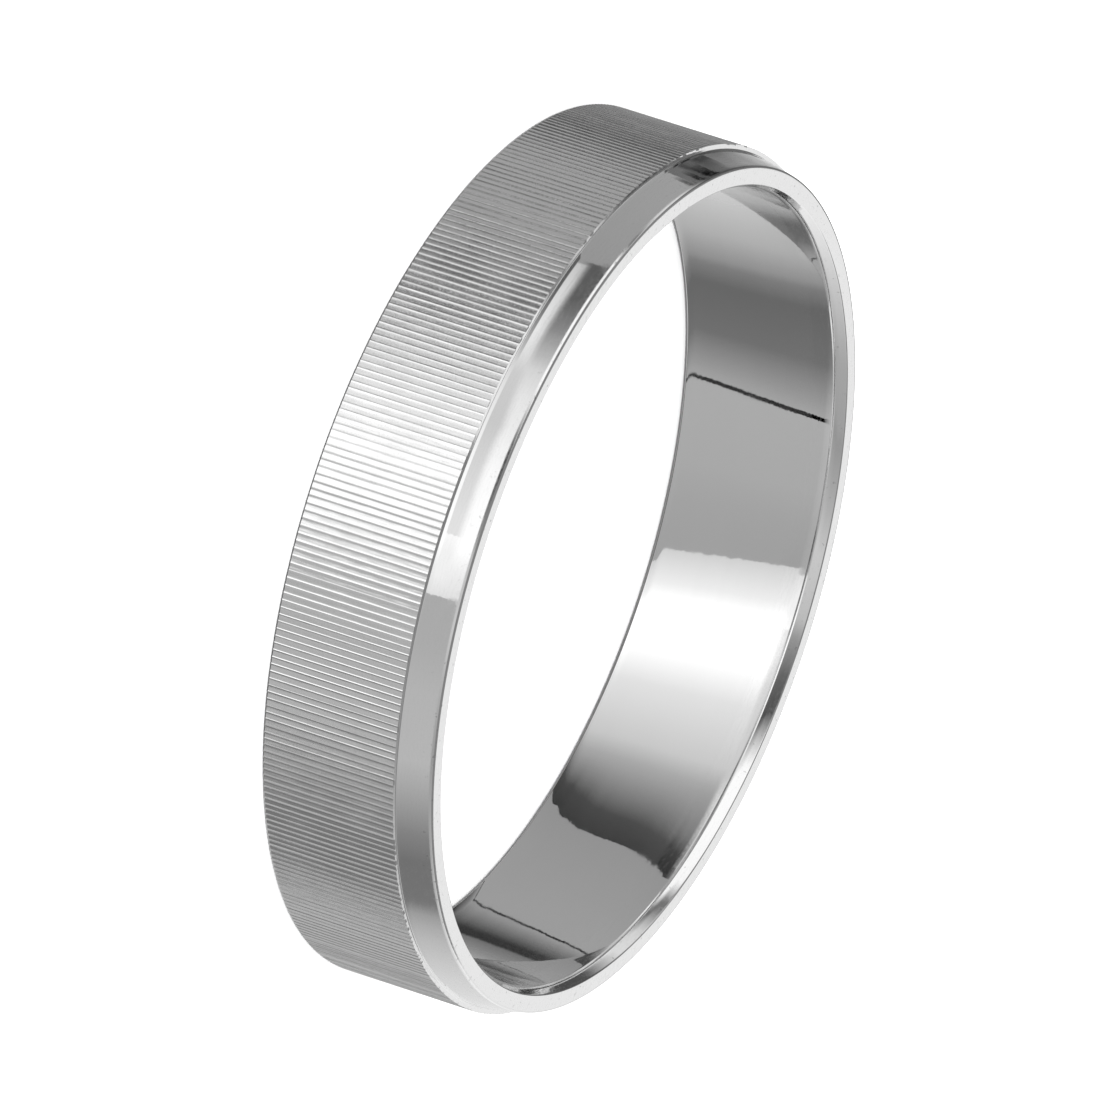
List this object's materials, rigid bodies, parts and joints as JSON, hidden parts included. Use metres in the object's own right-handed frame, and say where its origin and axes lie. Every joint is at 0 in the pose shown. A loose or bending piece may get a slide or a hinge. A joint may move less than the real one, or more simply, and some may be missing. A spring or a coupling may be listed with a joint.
{
  "type": "wedding band",
  "caption": "Plain round finger ring of white metal with a finely ribbed outer land, a small step to a polished bevel at one end, a narrow flat rim and a smooth bore.",
  "frame": {"origin": "centre of the bore, half-way up the band's width", "axes": "+Z along the band's axis, towards the bevelled rim; +X and +Y are two radial directions, each through the crest of a rib"},
  "size_m": [0.0196, 0.0196, 0.004],
  "materials": {
    "white_metal": "mirror-polished bevel, rim and bore, with a fine ribbed and grained land"
  },
  "bodies": {
    "root": {"band": "white_metal"}
  },
  "joints": []
}
